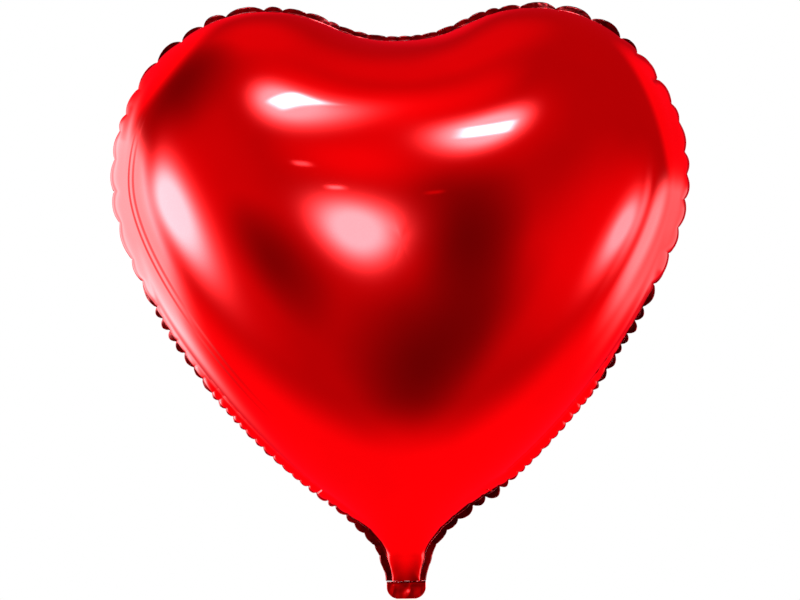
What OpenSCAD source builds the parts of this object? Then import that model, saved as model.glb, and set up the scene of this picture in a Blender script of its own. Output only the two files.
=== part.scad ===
// Heart-shaped foil balloon, inflated, with its filling tail and the flat valve inside.
// The weld plane is y = 0 and the front faces -Y. The origin is at the neck, where the tail meets the heart.

/* [Heart] */
// Width of the inflated heart between its weld lines
heart_w = 480; // [440:1:520]
// Height of the lobe tops above the neck
lobe_z = 461; // [430:1:500]
// Distance between the two lobe tops
lobe_spacing = 228; // [200:1:250]
// Depth of the notch below the lobe tops
notch_depth = 26; // [12:1:45]
// Height of the widest line above the neck
wide_z = 318; // [300:1:340]
// How far the flanks stay full below the widest line
flank_drop = 80; // [60:1:110]
// Straight run of the flanks above the shoulders
flank_run = 100; // [70:1:120]
// Rise of the flanks at the shoulders, in degrees from level
flank_rise = 35; // [28:1:42]
// Half width at the shoulders, where the flanks turn into the neck
shoulder_x = 61; // [50:1:75]
// Height of the shoulders above the neck
shoulder_z = 50; // [40:1:60]
// Run of the shoulder's curve towards the neck
shoulder_run = 18; // [10:1:26]
// Run of the neck's curve up to the shoulder
neck_run = 12; // [8:1:18]
// Height of the fullest point above the neck
apex_z = 261; // [245:1:280]
// Height over which the heart swells out of the neck
neck_swell = 40; // [34:1:50]
// Bulge of each film in front of the weld plane, or behind it
bulge = 130; // [110:1:150]
// Radius that the rings of the bulge lean to in the middle
core_r = 200; // [180:1:215]

/* [Film and rim] */
// Thickness of the film
film = 0.5; // [0.4:0.1:0.6]
// Thickness of the welded bands
weld_t = 0.8; // [0.6:0.1:1]
// Width of the welded rim round the heart
rim_w = 5; // [4:0.5:7]
// Depth of the rim's scallops
scallop_h = 1.6; // [0.8:0.1:2.4]
// Length of one scallop along the lobes
lobe_pitch = 22; // [16:1:30]
// Length of one scallop along the flanks
flank_pitch = 9; // [7:0.5:14]

/* [Tail] */
// Width of the gas channel at the neck
neck_w = 29; // [26:0.5:34]
// Outside thickness of the neck
neck_t = 14; // [12:0.5:17]
// Length of the tail from the neck to the base weld
tail_len = 21; // [16:1:30]
// Width of the gas channel at the base weld
tail_w = 21; // [18:0.5:25]
// Width of the welded bands along the tail
tail_weld_w = 6; // [4:0.5:8]
// Largest bend of the tail to either side, in degrees
tail_bend = 25; // [10:1:25]
// Height of the base weld
base_weld_h = 2; // [1.5:0.1:4]
// Length of the flat end below the base weld
end_len = 12.5; // [11:0.5:20]
// Corner radius of the flat end
end_corner_r = 10; // [6:0.5:10]
// Gap between the two layers of the flat end
layer_gap = 0.1; // [0.1:0.05:0.3]

/* [Valve] */
// Reach of the valve above the neck
valve_reach = 45; // [30:1:60]
// Thickness of one valve film
ply_t = 0.3; // [0.2:0.05:0.4]
// Gap between the two valve films
ply_gap = 0.3; // [0.3:0.05:0.5]
// Corner radius at the valve's top
ply_corner_r = 3; // [1:0.5:5]

/* [Clearances] */
// Gap between the heart's rim and the tail's bands at the neck
neck_gap = 0.6; // [0.6:0.1:0.9]
// Running clearance between parts that turn past each other
run_clear = 0.3; // [0.3:0.05:0.4]
// Side clearance of the tail inside the neck
side_clear = 0.6; // [0.5:0.1:1]
// Length of tail that reaches up inside the neck
nest_len = 2; // [1:0.5:4]
// Clearance between the valve and the base weld below it
valve_seat = 0.4; // [0.3:0.05:0.6]
// Side clearance of the valve inside the tail
valve_side = 2; // [1.5:0.1:3]
// Clearance of the valve in front of and behind it at the base weld
valve_room = 0.65; // [0.5:0.05:1]

/* [Hidden] */

// Facets of exact round edges
$fn = 48;
// Handle of a cubic curve that follows a quarter of an ellipse
quarter_handle = 0.5523;
// Handle of the soft dip between notch and lobe
dip_handle = 0.5;
// How fast the rings of the bulge turn from round to heart-shaped, and from a plain tip to the neck
ring_blend = 2;
neck_blend = 12;
// Length of gas channel below the neck that counts for the bulge, as a share of the channel's width
channel_share = 1.4;
// Share of the plain tip's curve that the shoulders take, and the neck's mouth the rest
tip_share = 0.8;
// Steps along the four curves of the half outline, across the mouth, and from rim to apex
curve_steps = [8, 10, 18, 8];
mouth_steps = 8;
dome_rings = 11;
// Points along one scallop
scallop_steps = 4;
// Rows and columns of a tail film
tail_rows = 7;
tail_cols = 14;

// Places on the half outline
neck_z = neck_gap / 2;
notch = [0, lobe_z - notch_depth];
lobe = [lobe_spacing / 2, lobe_z];
widest = [heart_w / 2, wide_z];
shoulder = [shoulder_x, shoulder_z];
neck = [neck_w / 2, neck_z];
flank_dir = [cos(flank_rise), sin(flank_rise)];

// The half outline from notch to neck as four cubic curves
half_outline = [
    [notch,
        [lobe[0] * dip_handle, notch[1]],
        [lobe[0] * (1 - dip_handle), lobe_z],
        lobe],
    [lobe,
        [lobe[0] + (widest[0] - lobe[0]) * quarter_handle, lobe_z],
        [widest[0], wide_z + (lobe_z - wide_z) * quarter_handle],
        widest],
    [widest,
        [widest[0], wide_z - flank_drop],
        shoulder + flank_run * flank_dir,
        shoulder],
    [shoulder,
        shoulder - shoulder_run * flank_dir,
        neck + [0, neck_run],
        neck]
];

// The same without a neck: the flanks run on to a plain round tip
tip = [0, shoulder_z - shoulder_x * tan(flank_rise)];
plain_outline = [
    half_outline[0],
    half_outline[1],
    half_outline[2],
    [shoulder,
        shoulder - shoulder_run * flank_dir,
        tip + [shoulder_run, 0],
        tip]
];

// Half thickness and half width of the tail, outside, at the neck and at the base weld
tail_y_top = (neck_t / 2 - film - run_clear) * cos(tail_bend);
tail_x_top = neck_w / 2 - film - side_clear;
tail_y_base = ply_gap / 2 + ply_t + valve_room + film;
tail_x_base = tail_w / 2;
base_z = -tail_len;

// The flat end turns about a line just below the base weld
end_t = 2 * film + layer_gap;
end_z = base_z - base_weld_h - end_t / 2 - run_clear;
end_x = tail_x_base + tail_weld_w;

// The valve hangs on the base weld inside the tail
valve_x = tail_x_base - film - valve_side;
valve_base_z = base_z + valve_seat;

// Points and outward normals on a cubic curve
function cubic(p, t) =
    p[0] * pow(1 - t, 3) + p[1] * 3 * t * pow(1 - t, 2) + p[2] * 3 * t * t * (1 - t) + p[3] * pow(t, 3);
function slope(p, t) =
    (p[1] - p[0]) * pow(1 - t, 2) + (p[2] - p[1]) * 2 * t * (1 - t) + (p[3] - p[2]) * t * t;
function outward(p, t) =
    let (d = slope(p, t))
    [-d[1], d[0]] / norm(d);
function beside(p, t, distance) = cubic(p, t) + outward(p, t) * distance;

function reversed(list) = [for (i = [len(list) - 1:-1:0]) list[i]];
function mirrored(points) = [for (p = points) [-p[0], p[1]]];
function curve_length(p, steps = 24) =
    let (pieces = [for (i = [0:steps - 1]) norm(cubic(p, (i + 1) / steps) - cubic(p, i / steps))])
    pieces * [for (piece = pieces) 1];

// Points along four curves, moved outward by a distance, up to a share of the last curve
function run_points(curves, distance, last_share = 1) = concat(
    [for (c = [0:3]) let (share = c == 3 ? last_share : 1) for (k = [0:curve_steps[c] - 1])
        beside(curves[c], share * k / curve_steps[c], distance)],
    [beside(curves[3], last_share, distance)]);

// The rim's outer edge from notch to neck, with a scallop between each two pinches
function scallop_count(c) =
    max(2, round(curve_length(half_outline[c]) / (c < 2 ? lobe_pitch : flank_pitch)));
function scallop(k) = rim_w - scallop_h + scallop_h * sin(180 * (k % scallop_steps) / scallop_steps);
function scalloped_points() = concat(
    [for (c = [0:3]) let (n = scallop_count(c) * scallop_steps) for (k = [0:n - 1])
        beside(half_outline[c], k / n, scallop(k))],
    [beside(half_outline[3], 1, scallop(0))]);

// Both halves of an outline in one run, from the left of the neck over the notch to the right of the neck
function both_halves(right) = concat(reversed(mirrored([for (i = [1:len(right) - 1]) right[i]])), right);

// Points across the mouth at the neck, and across the plain tip, from right to left
function mouth_points(inset) =
    [for (i = [1:mouth_steps - 1]) [(neck_w / 2 - inset) * cos(180 * i / mouth_steps), neck_z]];
function tip_points(inset) =
    [for (i = [1:mouth_steps - 1])
        let (
            side = 1 - 2 * i / mouth_steps,
            p = beside(plain_outline[3], 1 - abs(side) * (1 - tip_share), -inset)
        )
        [sign(side) * p[0], p[1]]];

// Closed loops, clockwise from the notch: the dome's edge, and the plain heart that its rings lean to
function closed_loop(right, middle) =
    concat(right, middle, reversed(mirrored([for (i = [1:len(right) - 1]) right[i]])));
function edge_loop(inset) = closed_loop(run_points(half_outline, -inset), mouth_points(inset));
function plain_loop(inset) = closed_loop(run_points(plain_outline, -inset, tip_share), tip_points(inset));

// The rim as a closed loop that runs on below the neck along the gas channel
function channel_loop(inset) =
    closed_loop(
        concat(run_points(half_outline, -inset), [[neck_w / 2 - inset, neck_z - channel_share * neck_w]]),
        []);

// Room at a point inside a clockwise loop: its mean distance to the loop over the mean of the inverse
// distances, both taken over all directions. It is nothing at the rim and greatest in the middle.
function room(p, loop) =
    let (
        last = len(loop) - 1,
        next = [for (i = [0:last]) i == last ? 0 : i + 1],
        spokes = [for (b = loop) b - p],
        reach = [for (s = spokes) norm(s)],
        half_turns = [for (i = [0:last])
            let (k = next[i], area = cross(spokes[k], spokes[i]))
            area == 0 ? 0 : (reach[i] * reach[k] - spokes[i] * spokes[k]) / area]
    )
    half_turns * [for (i = [0:last]) reach[i] + reach[next[i]]]
    / (half_turns * [for (i = [0:last]) 1 / reach[i] + 1 / reach[next[i]]]);

// Whether a point of a loop lies on the open mouth, between the two sides of the neck
function in_mouth(i) =
    let (k = i - curve_steps * [1, 1, 1, 1])
    k > 0 && k < mouth_steps;

// One ring of a dome at a rise angle from the rim (0) to the apex (90): heart-shaped outside, round inside.
// Gas swells the film out by the root of the room it has, and the neck holds it in.
function dome_ring(inset, rise) =
    let (
        edge = edge_loop(inset),
        plain = plain_loop(inset),
        channel = channel_loop(inset),
        centre = [0, apex_z],
        swell = (bulge - inset) / sqrt(room(centre, channel)),
        neck_hold = (neck_t / 2 - weld_t / 2 - inset) / (swell * sqrt(room([0, neck_z], channel))),
        share = cos(rise),
        heart_share = pow(share, ring_blend),
        neck_share = pow(share, neck_blend)
    )
    [for (i = [0:len(edge) - 1])
        let (
            p = edge[i] * neck_share + plain[i] * (1 - neck_share) - centre,
            d = p / norm(p),
            q = centre + share * (p * heart_share + d * (core_r - inset) * (1 - heart_share)),
            hold = 1 - (1 - neck_hold) * exp(-pow(q[1] / neck_swell, 2)),
            out = rise > 0 || in_mouth(i) ? hold * swell * sqrt(room(q, channel)) : 0
        )
        [q[0], -weld_t / 2 - out, q[1]]];

// Splits four-cornered faces into triangles
function triangles(quads) = [for (q = quads) each [[q[0], q[1], q[2]], [q[0], q[2], q[3]]]];

// One half of the inflated heart: a closed dome of film whose edge stands on the rim
module dome_film() {
    n = len(edge_loop(0));
    rises = [for (j = [0:dome_rings - 1]) 90 * j / dome_rings];
    outer = [for (rise = rises) each dome_ring(0, rise)];
    inner = [for (rise = rises) each dome_ring(film, rise)];
    outer_apex = n * dome_rings;
    first_inner = outer_apex + 1;
    inner_apex = first_inner + n * dome_rings;
    points = concat(
        outer, [[0, -weld_t / 2 - bulge, apex_z]],
        inner, [[0, -weld_t / 2 - bulge + film, apex_z]]);
    outer_quads = [for (j = [0:dome_rings - 2]) for (i = [0:n - 1])
        let (a = j * n, b = a + n, k = (i + 1) % n) [a + i, a + k, b + k, b + i]];
    inner_quads = [for (q = outer_quads) [for (v = reversed(q)) v + first_inner]];
    edge_quads = [for (i = [0:n - 1])
        let (k = (i + 1) % n) [k, i, first_inner + i, first_inner + k]];
    last = n * (dome_rings - 1);
    outer_cap = [for (i = [0:n - 1]) [last + i, last + (i + 1) % n, outer_apex]];
    inner_cap = [for (i = [0:n - 1]) [first_inner + last + (i + 1) % n, first_inner + last + i, inner_apex]];
    polyhedron(
        points = points,
        faces = concat(triangles(concat(outer_quads, inner_quads, edge_quads)), outer_cap, inner_cap),
        convexity = 6);
}

// Half width and half thickness of the tail at a height between the nest (0) and the base weld (1)
function tail_z(share) = nest_len - (nest_len + tail_len) * share;
function tail_fall(share) = max(0, -tail_z(share)) / tail_len;
function tail_x(share) = tail_x_top + (tail_x_base - tail_x_top) * tail_fall(share);
function tail_y(share) = tail_y_base + (tail_y_top - tail_y_base) * (1 - pow(tail_fall(share), 2));

// One film of the tail: a thin curved sheet, round at the neck and nearly flat at the base weld
module tail_film() {
    columns = tail_cols + 1;
    function sheet(inset) = [for (k = [0:tail_rows]) for (c = [0:tail_cols])
        let (share = k / tail_rows, turn = 180 * c / tail_cols, edge = weld_t / 2)
        [(tail_x(share) - inset) * cos(turn),
            -edge - (tail_y(share) - inset - edge) * sin(turn),
            tail_z(share)]];
    outer = sheet(0);
    size = len(outer);
    outer_quads = [for (k = [0:tail_rows - 1]) for (c = [0:tail_cols - 1])
        let (a = k * columns + c, b = a + columns) [a, b, b + 1, a + 1]];
    inner_quads = [for (q = outer_quads) [for (v = reversed(q)) v + size]];
    border = concat(
        [for (k = [0:tail_rows - 1]) k * columns],
        [for (c = [0:tail_cols - 1]) tail_rows * columns + c],
        [for (k = [tail_rows:-1:1]) k * columns + tail_cols],
        [for (c = [tail_cols:-1:1]) c]);
    edge_quads = [for (i = [0:len(border) - 1])
        let (a = border[i], b = border[(i + 1) % len(border)]) [b, a, a + size, b + size]];
    polyhedron(
        points = concat(outer, sheet(film)),
        faces = triangles(concat(outer_quads, inner_quads, edge_quads)),
        convexity = 4);
}

// Stands an outline up in the weld plane, with a thickness and a middle at a given y
module upright(thickness, y = 0) {
    translate([0, y, 0])
        rotate([90, 0, 0])
            linear_extrude(thickness, center = true)
                children();
}

// The welded band along the right side of the tail
module tail_band() {
    upright(weld_t)
        polygon([
            [tail_x_top - film, -neck_z],
            [neck_w / 2 + tail_weld_w, -neck_z],
            [end_x, base_z],
            [tail_x_base - film, base_z]]);
}

// Outline of the flat end: straight at the fold, round at the bottom corners
module end_outline() {
    corner_z = end_z - end_len + end_corner_r;
    corner_x = end_x - end_corner_r;
    translate([-end_x, corner_z])
        square([2 * end_x, end_z - corner_z]);
    translate([-corner_x, end_z - end_len])
        square([2 * corner_x, end_corner_r]);
    for (side = [-1, 1])
        translate([side * corner_x, corner_z])
            circle(end_corner_r);
}

// One layer of the flat end between its side bands
module end_layer() {
    intersection() {
        end_outline();
        translate([-tail_x_base, end_z - end_len])
            square([2 * tail_x_base, end_len]);
    }
}

// The welded band along the right side of the flat end
module end_band() {
    upright(end_t)
        intersection() {
            end_outline();
            translate([tail_x_base, end_z - end_len])
                square([tail_weld_w, end_len]);
        }
}

// One film of the valve, with round corners at its top
module ply_outline() {
    top_z = valve_reach - ply_corner_r;
    corner_x = valve_x - ply_corner_r;
    translate([-valve_x, valve_base_z])
        square([2 * valve_x, top_z - valve_base_z]);
    translate([-corner_x, top_z])
        square([2 * corner_x, ply_corner_r]);
    for (side = [-1, 1])
        translate([side * corner_x, top_z])
            circle(ply_corner_r);
}

module front_panel() {
    color("#d80a1c")
        dome_film();
}

module rear_panel() {
    color("#c00818")
        mirror([0, 1, 0])
            dome_film();
}

module rim_seam() {
    color("#8c0512")
        upright(weld_t)
            polygon(concat(
                both_halves(scalloped_points()),
                reversed(both_halves(run_points(half_outline, -film)))));
}

module tail_front_film() {
    color("#d80a1c")
        tail_film();
}

module tail_rear_film() {
    color("#c00818")
        mirror([0, 1, 0])
            tail_film();
}

module tail_seam_left() {
    color("#8c0512")
        mirror([1, 0, 0])
            tail_band();
}

module tail_seam_right() {
    color("#8c0512")
        tail_band();
}

module valve_base_weld() {
    color("#7a0410")
        upright(2 * tail_y_base - film)
            translate([-end_x, base_z - base_weld_h])
                square([2 * end_x, base_weld_h]);
}

module tail_end_front_film() {
    color("#d80a1c")
        upright(film, -(layer_gap + film) / 2)
            end_layer();
}

module tail_end_rear_film() {
    color("#c00818")
        upright(film, (layer_gap + film) / 2)
            end_layer();
}

module tail_end_seam_left() {
    color("#8c0512")
        mirror([1, 0, 0])
            end_band();
}

module tail_end_seam_right() {
    color("#8c0512")
        end_band();
}

module valve_front_film() {
    color("#e8e4de")
        upright(ply_t, -(ply_gap + ply_t) / 2)
            ply_outline();
}

module valve_rear_film() {
    color("#e8e4de")
        upright(ply_t, (ply_gap + ply_t) / 2)
            ply_outline();
}

front_panel();
rear_panel();
rim_seam();
tail_front_film();
tail_rear_film();
tail_seam_left();
tail_seam_right();
valve_base_weld();
tail_end_front_film();
tail_end_rear_film();
tail_end_seam_left();
tail_end_seam_right();
valve_front_film();
valve_rear_film();
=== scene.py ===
"""Visual model of a heart-shaped foil balloon, laid out as a Blender add-on and run as a script.

Two mirror-red films bulge between a welded rim, with puffs and creases along it, a short filling
tail, a crinkled base weld and a flat end. Metres throughout: +Z up, -Y towards the front film.
"""
import math

import bpy
import numpy as np
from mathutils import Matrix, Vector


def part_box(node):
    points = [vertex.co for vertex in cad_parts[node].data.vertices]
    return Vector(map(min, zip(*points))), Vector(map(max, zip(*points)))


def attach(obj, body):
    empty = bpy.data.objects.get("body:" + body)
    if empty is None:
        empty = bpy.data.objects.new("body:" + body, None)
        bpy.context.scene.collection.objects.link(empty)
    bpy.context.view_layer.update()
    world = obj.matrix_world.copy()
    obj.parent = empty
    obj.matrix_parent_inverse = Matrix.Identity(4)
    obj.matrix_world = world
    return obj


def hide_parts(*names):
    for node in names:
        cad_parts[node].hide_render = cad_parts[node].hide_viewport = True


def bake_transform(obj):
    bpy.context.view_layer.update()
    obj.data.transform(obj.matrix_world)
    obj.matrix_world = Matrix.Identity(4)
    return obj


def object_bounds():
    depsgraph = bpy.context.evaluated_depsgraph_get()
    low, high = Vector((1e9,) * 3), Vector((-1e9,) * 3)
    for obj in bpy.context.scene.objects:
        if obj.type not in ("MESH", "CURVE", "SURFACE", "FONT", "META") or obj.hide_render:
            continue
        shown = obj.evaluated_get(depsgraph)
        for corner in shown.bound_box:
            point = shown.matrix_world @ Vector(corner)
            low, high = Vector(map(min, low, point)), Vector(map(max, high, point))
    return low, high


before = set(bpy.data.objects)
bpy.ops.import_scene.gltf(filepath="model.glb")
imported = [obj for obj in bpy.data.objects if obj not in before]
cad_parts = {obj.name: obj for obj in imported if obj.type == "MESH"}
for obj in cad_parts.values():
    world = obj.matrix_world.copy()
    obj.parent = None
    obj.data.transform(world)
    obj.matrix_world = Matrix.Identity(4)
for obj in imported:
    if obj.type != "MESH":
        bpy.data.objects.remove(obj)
CAD_LOW, CAD_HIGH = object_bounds()
PANEL_LOW, PANEL_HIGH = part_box("front_panel")
WELD_LOW, WELD_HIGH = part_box("valve_base_weld")
END_LOW, END_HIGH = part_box("tail_end_front_film")
_, END_BAND_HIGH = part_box("tail_end_seam_right")

bl_info = {
    "name": "Foil heart balloon",
    "version": (1, 0, 0),
    "blender": (4, 5, 0),
    "location": "View3D > Sidebar > Foil heart",
    "description": "Builds the films, welds, tail and studio of a heart-shaped foil balloon",
    "category": "Object",
}

MM = 0.001


def length_property(name, description, default):
    """A length in metres that a user may change."""
    return bpy.props.FloatProperty(
        name=name, description=description, default=default, unit="LENGTH", precision=4
    )


def number_property(name, description, default):
    """A plain number that a user may change."""
    return bpy.props.FloatProperty(name=name, description=description, default=default)


def angle_property(name, description, degrees):
    """An angle that a user may change."""
    return bpy.props.FloatProperty(
        name=name, description=description, default=math.radians(degrees), subtype="ANGLE"
    )


def colour_property(name, description, default):
    """A linear colour that a user may change."""
    return bpy.props.FloatVectorProperty(
        name=name, description=description, default=default, subtype="COLOR", min=0, max=1
    )


class FoilShapeSettings(bpy.types.PropertyGroup):
    """Sizes of the films, the rim and the tail."""

    half_width: length_property("Half width", "From the middle to the widest point", PANEL_HIGH.x)
    lobe_top: length_property("Lobe top", "Height of the two lobes above the neck", PANEL_HIGH.z)
    lobe_x: length_property("Lobe place", "From the middle to the top of a lobe", 0.114)
    notch_depth: length_property("Notch depth", "How far the notch lies below the lobes", 0.026)
    wide_z: length_property("Height of the widest point", "Above the neck", 0.318)
    flank_drop: length_property("Flank drop", "How long the flank stays upright", 0.080)
    flank_run: length_property("Flank run", "How long it stays straight above the shoulder", 0.100)
    flank_rise: angle_property("Flank rise", "Slope of the film at the shoulder", 35)
    shoulder_x: length_property("Shoulder place", "From the middle to the shoulder", 0.061)
    shoulder_z: length_property("Shoulder height", "Above the neck", 0.050)
    shoulder_run: length_property("Shoulder run", "How long the shoulder stays straight", 0.018)
    neck_half: length_property("Neck half width", "From the middle to the weld at the neck", 0.0160)
    neck_run: length_property("Neck run", "How long the neck stays upright", 0.012)
    bulge: length_property("Bulge", "From the weld plane to the top of a film", -PANEL_LOW.y)
    notch_fill: number_property("Notch fill", "How much fuller the film is below the notch", 0.09)
    notch_spread: length_property("Notch spread", "How far from the notch that reaches", 0.060)
    neck_flare: length_property("Neck flare", "Height over which the neck starts to widen", 0.060)
    neck_swell: length_property("Neck swell", "Height over which the neck starts to swell", 0.075)
    neck_thick: length_property("Neck half thickness", "Of the tube at the neck", 0.0115)
    tail_half: length_property("Tail half width", "Of the tube just above the base weld", 0.0115)
    tail_thick: length_property("Tail half thickness", "Of the tube above the base weld", 0.0016)
    seed: bpy.props.IntProperty(name="Seed", description="Of the places of the creases", default=11)


class FoilFinishSettings(bpy.types.PropertyGroup):
    """Colours of the foil and its welds."""

    red: colour_property("Red foil", "Colour of the lacquered film", (0.90, 0.004, 0.007))
    deep_red: colour_property("Deep red foil", "Where the lacquer is thicker", (0.84, 0.003, 0.005))
    weld_red: colour_property("Welded foil", "Colour of the melted bands", (0.17, 0.002, 0.004))
    weld_dark: colour_property("Dark weld", "In the crinkles of the bands", (0.06, 0.001, 0.002))
    valve_film: colour_property("Valve film", "Colour of the milky valve film", (0.90, 0.89, 0.86))


class FoilStageSettings(bpy.types.PropertyGroup):
    """Camera, floor and light."""

    camera_distance: length_property("Camera distance", "From the weld plane", 2.2)
    frame_width: length_property("Frame width", "Seen across the picture at the weld plane", 0.676)
    view_x: length_property("View centre across", "Middle of the picture", -0.0017)
    view_z: length_property("View centre height", "Middle of the picture", 0.2163)
    view_roll: angle_property("Camera roll", "Clockwise", 0.85)
    floor_drop: length_property("Floor drop", "From the tail's end to the floor", 0.30)
    floor_colour: colour_property("Floor", "Pale floor", (0.93, 0.93, 0.93))


def settings():
    """The scene's three groups of settings: shape, finish and stage."""
    scene = bpy.context.scene
    return scene.foil_shape, scene.foil_finish, scene.foil_stage


# Curves and noise


def smooth(x):
    """Goes softly from 0 to 1 as x does."""
    x = np.clip(x, 0.0, 1.0)
    return x * x * (3 - 2 * x)


def lattice_noise(x, y, seed):
    """Smooth noise from -1 to 1 over a plane, one cell per unit."""
    cells = 64
    table = np.random.RandomState(seed).uniform(-1, 1, (cells, cells))
    ix, iy = np.floor(x).astype(int), np.floor(y).astype(int)
    fx, fy = smooth(x - ix), smooth(y - iy)

    def corner(a, b):
        return table[(ix + a) % cells, (iy + b) % cells]

    low = corner(0, 0) * (1 - fx) + corner(1, 0) * fx
    high = corner(0, 1) * (1 - fx) + corner(1, 1) * fx
    return low * (1 - fy) + high * fy


def cubic(points, steps):
    """Points along a cubic curve, its last one left out."""
    a, b, c, d = (np.array(p, float) for p in points)
    t = np.linspace(0, 1, steps, endpoint=False)[:, None]
    return (1 - t) ** 3 * a + 3 * (1 - t) ** 2 * t * b + 3 * (1 - t) * t * t * c + t**3 * d


class Outline:
    """The film's edge on the right, from the notch to the base weld; s is the length along it."""

    # How far the handles of a quarter ellipse reach, points on each curve, and points in all
    QUARTER = 0.5523
    STEPS = 400
    COUNT = 4000

    def __init__(self, shape):
        notch = (0, shape.lobe_top - shape.notch_depth)
        lobe = (shape.lobe_x, shape.lobe_top)
        widest = (shape.half_width, shape.wide_z)
        shoulder = np.array((shape.shoulder_x, shape.shoulder_z))
        along = np.array((math.cos(shape.flank_rise), math.sin(shape.flank_rise)))
        neck = (shape.neck_half, 0)
        base = (shape.tail_half, WELD_HIGH.z)
        reach = (widest[0] - lobe[0]) * self.QUARTER
        rise = (lobe[1] - widest[1]) * self.QUARTER
        drop = (widest[0], widest[1] - shape.flank_drop)
        curves = [
            (notch, (lobe[0] / 2, notch[1]), (lobe[0] / 2, lobe[1]), lobe),
            (lobe, (lobe[0] + reach, lobe[1]), (widest[0], widest[1] + rise), widest),
            (widest, drop, shoulder + shape.flank_run * along, shoulder),
            (shoulder, shoulder - shape.shoulder_run * along, (neck[0], shape.neck_run), neck),
            (neck, (neck[0], -0.4 * shape.neck_run), (base[0], base[1] / 2), base),
        ]
        fine = np.vstack([cubic(c, self.STEPS) for c in curves] + [np.array([base])])
        run = np.concatenate([[0], np.cumsum(np.linalg.norm(np.diff(fine, axis=0), axis=1))])
        self.s = np.linspace(0, run[-1], self.COUNT)
        self.x = np.interp(self.s, run, fine[:, 0])
        self.z = np.interp(self.s, run, fine[:, 1])
        dx, dz = np.gradient(self.x), np.gradient(self.z)
        size = np.hypot(dx, dz)
        self.nx, self.nz = -dz / size, dx / size
        self.total = run[-1]
        self.wide_s, self.shoulder_s, self.neck_s = run[2 * self.STEPS : -1 : self.STEPS]

    def at(self, s):
        """Points and outward directions at lengths s, on the right."""
        point = np.stack([np.interp(s, self.s, self.x), np.interp(s, self.s, self.z)], -1)
        out = np.stack([np.interp(s, self.s, self.nx), np.interp(s, self.s, self.nz)], -1)
        return point, out / np.linalg.norm(out, axis=-1, keepdims=True)

    def s_at_height(self, z):
        """The length at which the flank, neck or tail has height z."""
        below = self.s > self.wide_s
        return np.interp(-np.asarray(z), -self.z[below], self.s[below])

    def half_width(self, z):
        """Half the film's width at a height on the flank, neck or tail."""
        return np.interp(self.s_at_height(z), self.s, self.x)


class Dome:
    """Height of a film that gas swells out of its flat outline.

    It goes as the root of the room at a point: the mean distance to the edge over the mean of the
    inverse distances, both taken over all directions. The neck and the base weld hold the film in.
    """

    # Spacing along the edge, how far the tail runs on below the weld, points up the middle, and
    # points worked out at a time
    STEP = 4 * MM
    RUN_ON = 20 * MM
    SPINE = 900
    BATCH = 4000

    def __init__(self, shape, outline):
        self.shape, self.low = shape, outline.z[-1]
        side, _ = outline.at(np.linspace(0, outline.total, int(outline.total / self.STEP)))
        side = np.vstack([side, (shape.tail_half, self.low - self.RUN_ON)])
        self.loop = np.vstack([side, side[:0:-1] * (-1, 1)])
        spine = np.linspace(self.low, shape.lobe_top - shape.notch_depth - self.STEP, self.SPINE)
        level = self.room(np.stack([0 * spine, spine], -1))
        self.apex = np.array((0, spine[level.argmax()]))
        self.gain = shape.bulge / math.sqrt(level.max())
        free = self.gain * np.sqrt(np.interp((0, self.low), spine, level))
        self.neck_share, self.tail_share = (shape.neck_thick, shape.tail_thick) / free

    def room(self, points):
        """The room at flat points inside the outline."""
        found = []
        for part in np.array_split(points, max(1, len(points) // self.BATCH)):
            spoke = self.loop[None] - part[:, None]
            reach = np.maximum(np.linalg.norm(spoke, axis=2), 1e-9)
            after, reach_after = np.roll(spoke, -1, 1), np.roll(reach, -1, 1)
            area = after[..., 0] * spoke[..., 1] - after[..., 1] * spoke[..., 0]
            area = np.where(np.abs(area) < 1e-12, 1e-12, area)
            half_turn = (reach * reach_after - (spoke * after).sum(2)) / area
            mean = (half_turn * (reach + reach_after)).sum(1)
            inverse = (half_turn * (1 / reach + 1 / reach_after)).sum(1)
            found.append(mean / inverse)
        return np.maximum(np.concatenate(found), 0)

    def height(self, points):
        """Height over the weld plane at flat points."""
        z = points[:, 1]
        held = np.exp(-z / self.shape.neck_flare - (z / self.shape.neck_swell) ** 2)
        above = 1 - (1 - self.neck_share) * held
        below = self.neck_share + (self.tail_share - self.neck_share) * z / self.low
        from_notch = (points - self.loop[0]) / self.shape.notch_spread
        fuller = 1 + self.shape.notch_fill * np.exp(-(from_notch**2).sum(1))
        return self.gain * np.where(z > 0, above, below) * fuller * np.sqrt(self.room(points))


# The creased rim

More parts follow.
